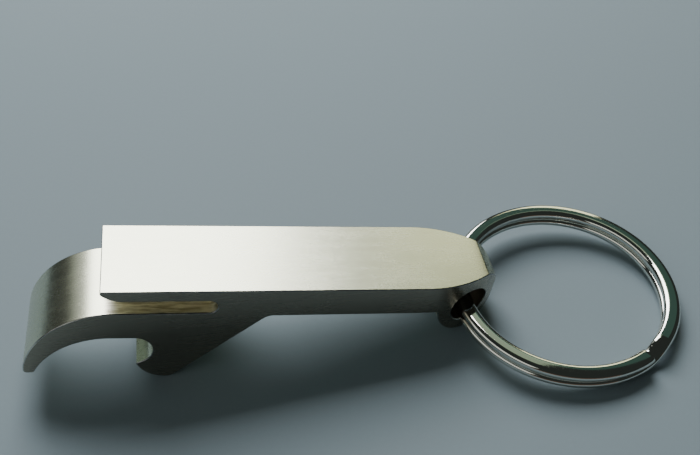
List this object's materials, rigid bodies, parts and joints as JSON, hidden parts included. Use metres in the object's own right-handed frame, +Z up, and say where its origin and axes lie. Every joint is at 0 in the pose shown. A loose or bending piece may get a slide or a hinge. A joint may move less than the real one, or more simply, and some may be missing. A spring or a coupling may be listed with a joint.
{
  "type": "keychain bottle opener",
  "caption": "Flat one-piece metal bottle opener with a curved cap hook, a can tab lifter and a key ring through its rounded end",
  "frame": {"origin": "centre of the footprint of the opener lying on a table on its tooth and its boss, on the table", "axes": "+X along the opener from the cap hook towards the ring, +Y across the width away from the side shown in front, +Z up"},
  "size_m": [0.088, 0.0316, 0.017],
  "materials": {
    "satin_nickel": "satin pearl nickel, finely brushed along the length",
    "bright_nickel": "polished bright nickel plate"
  },
  "bodies": {
    "opener": {"opener_body": "satin_nickel"},
    "ring": {"split_ring": "bright_nickel"}
  },
  "joints": [
    {"name": "ring_swing", "type": "hinge", "parent": "opener", "child": "ring", "pos_m": [0.01419, 0.00271, 0.00402], "axis": [-0.0717, -0.9974, -0.0051], "range_deg": [-160, 150]}
  ]
}
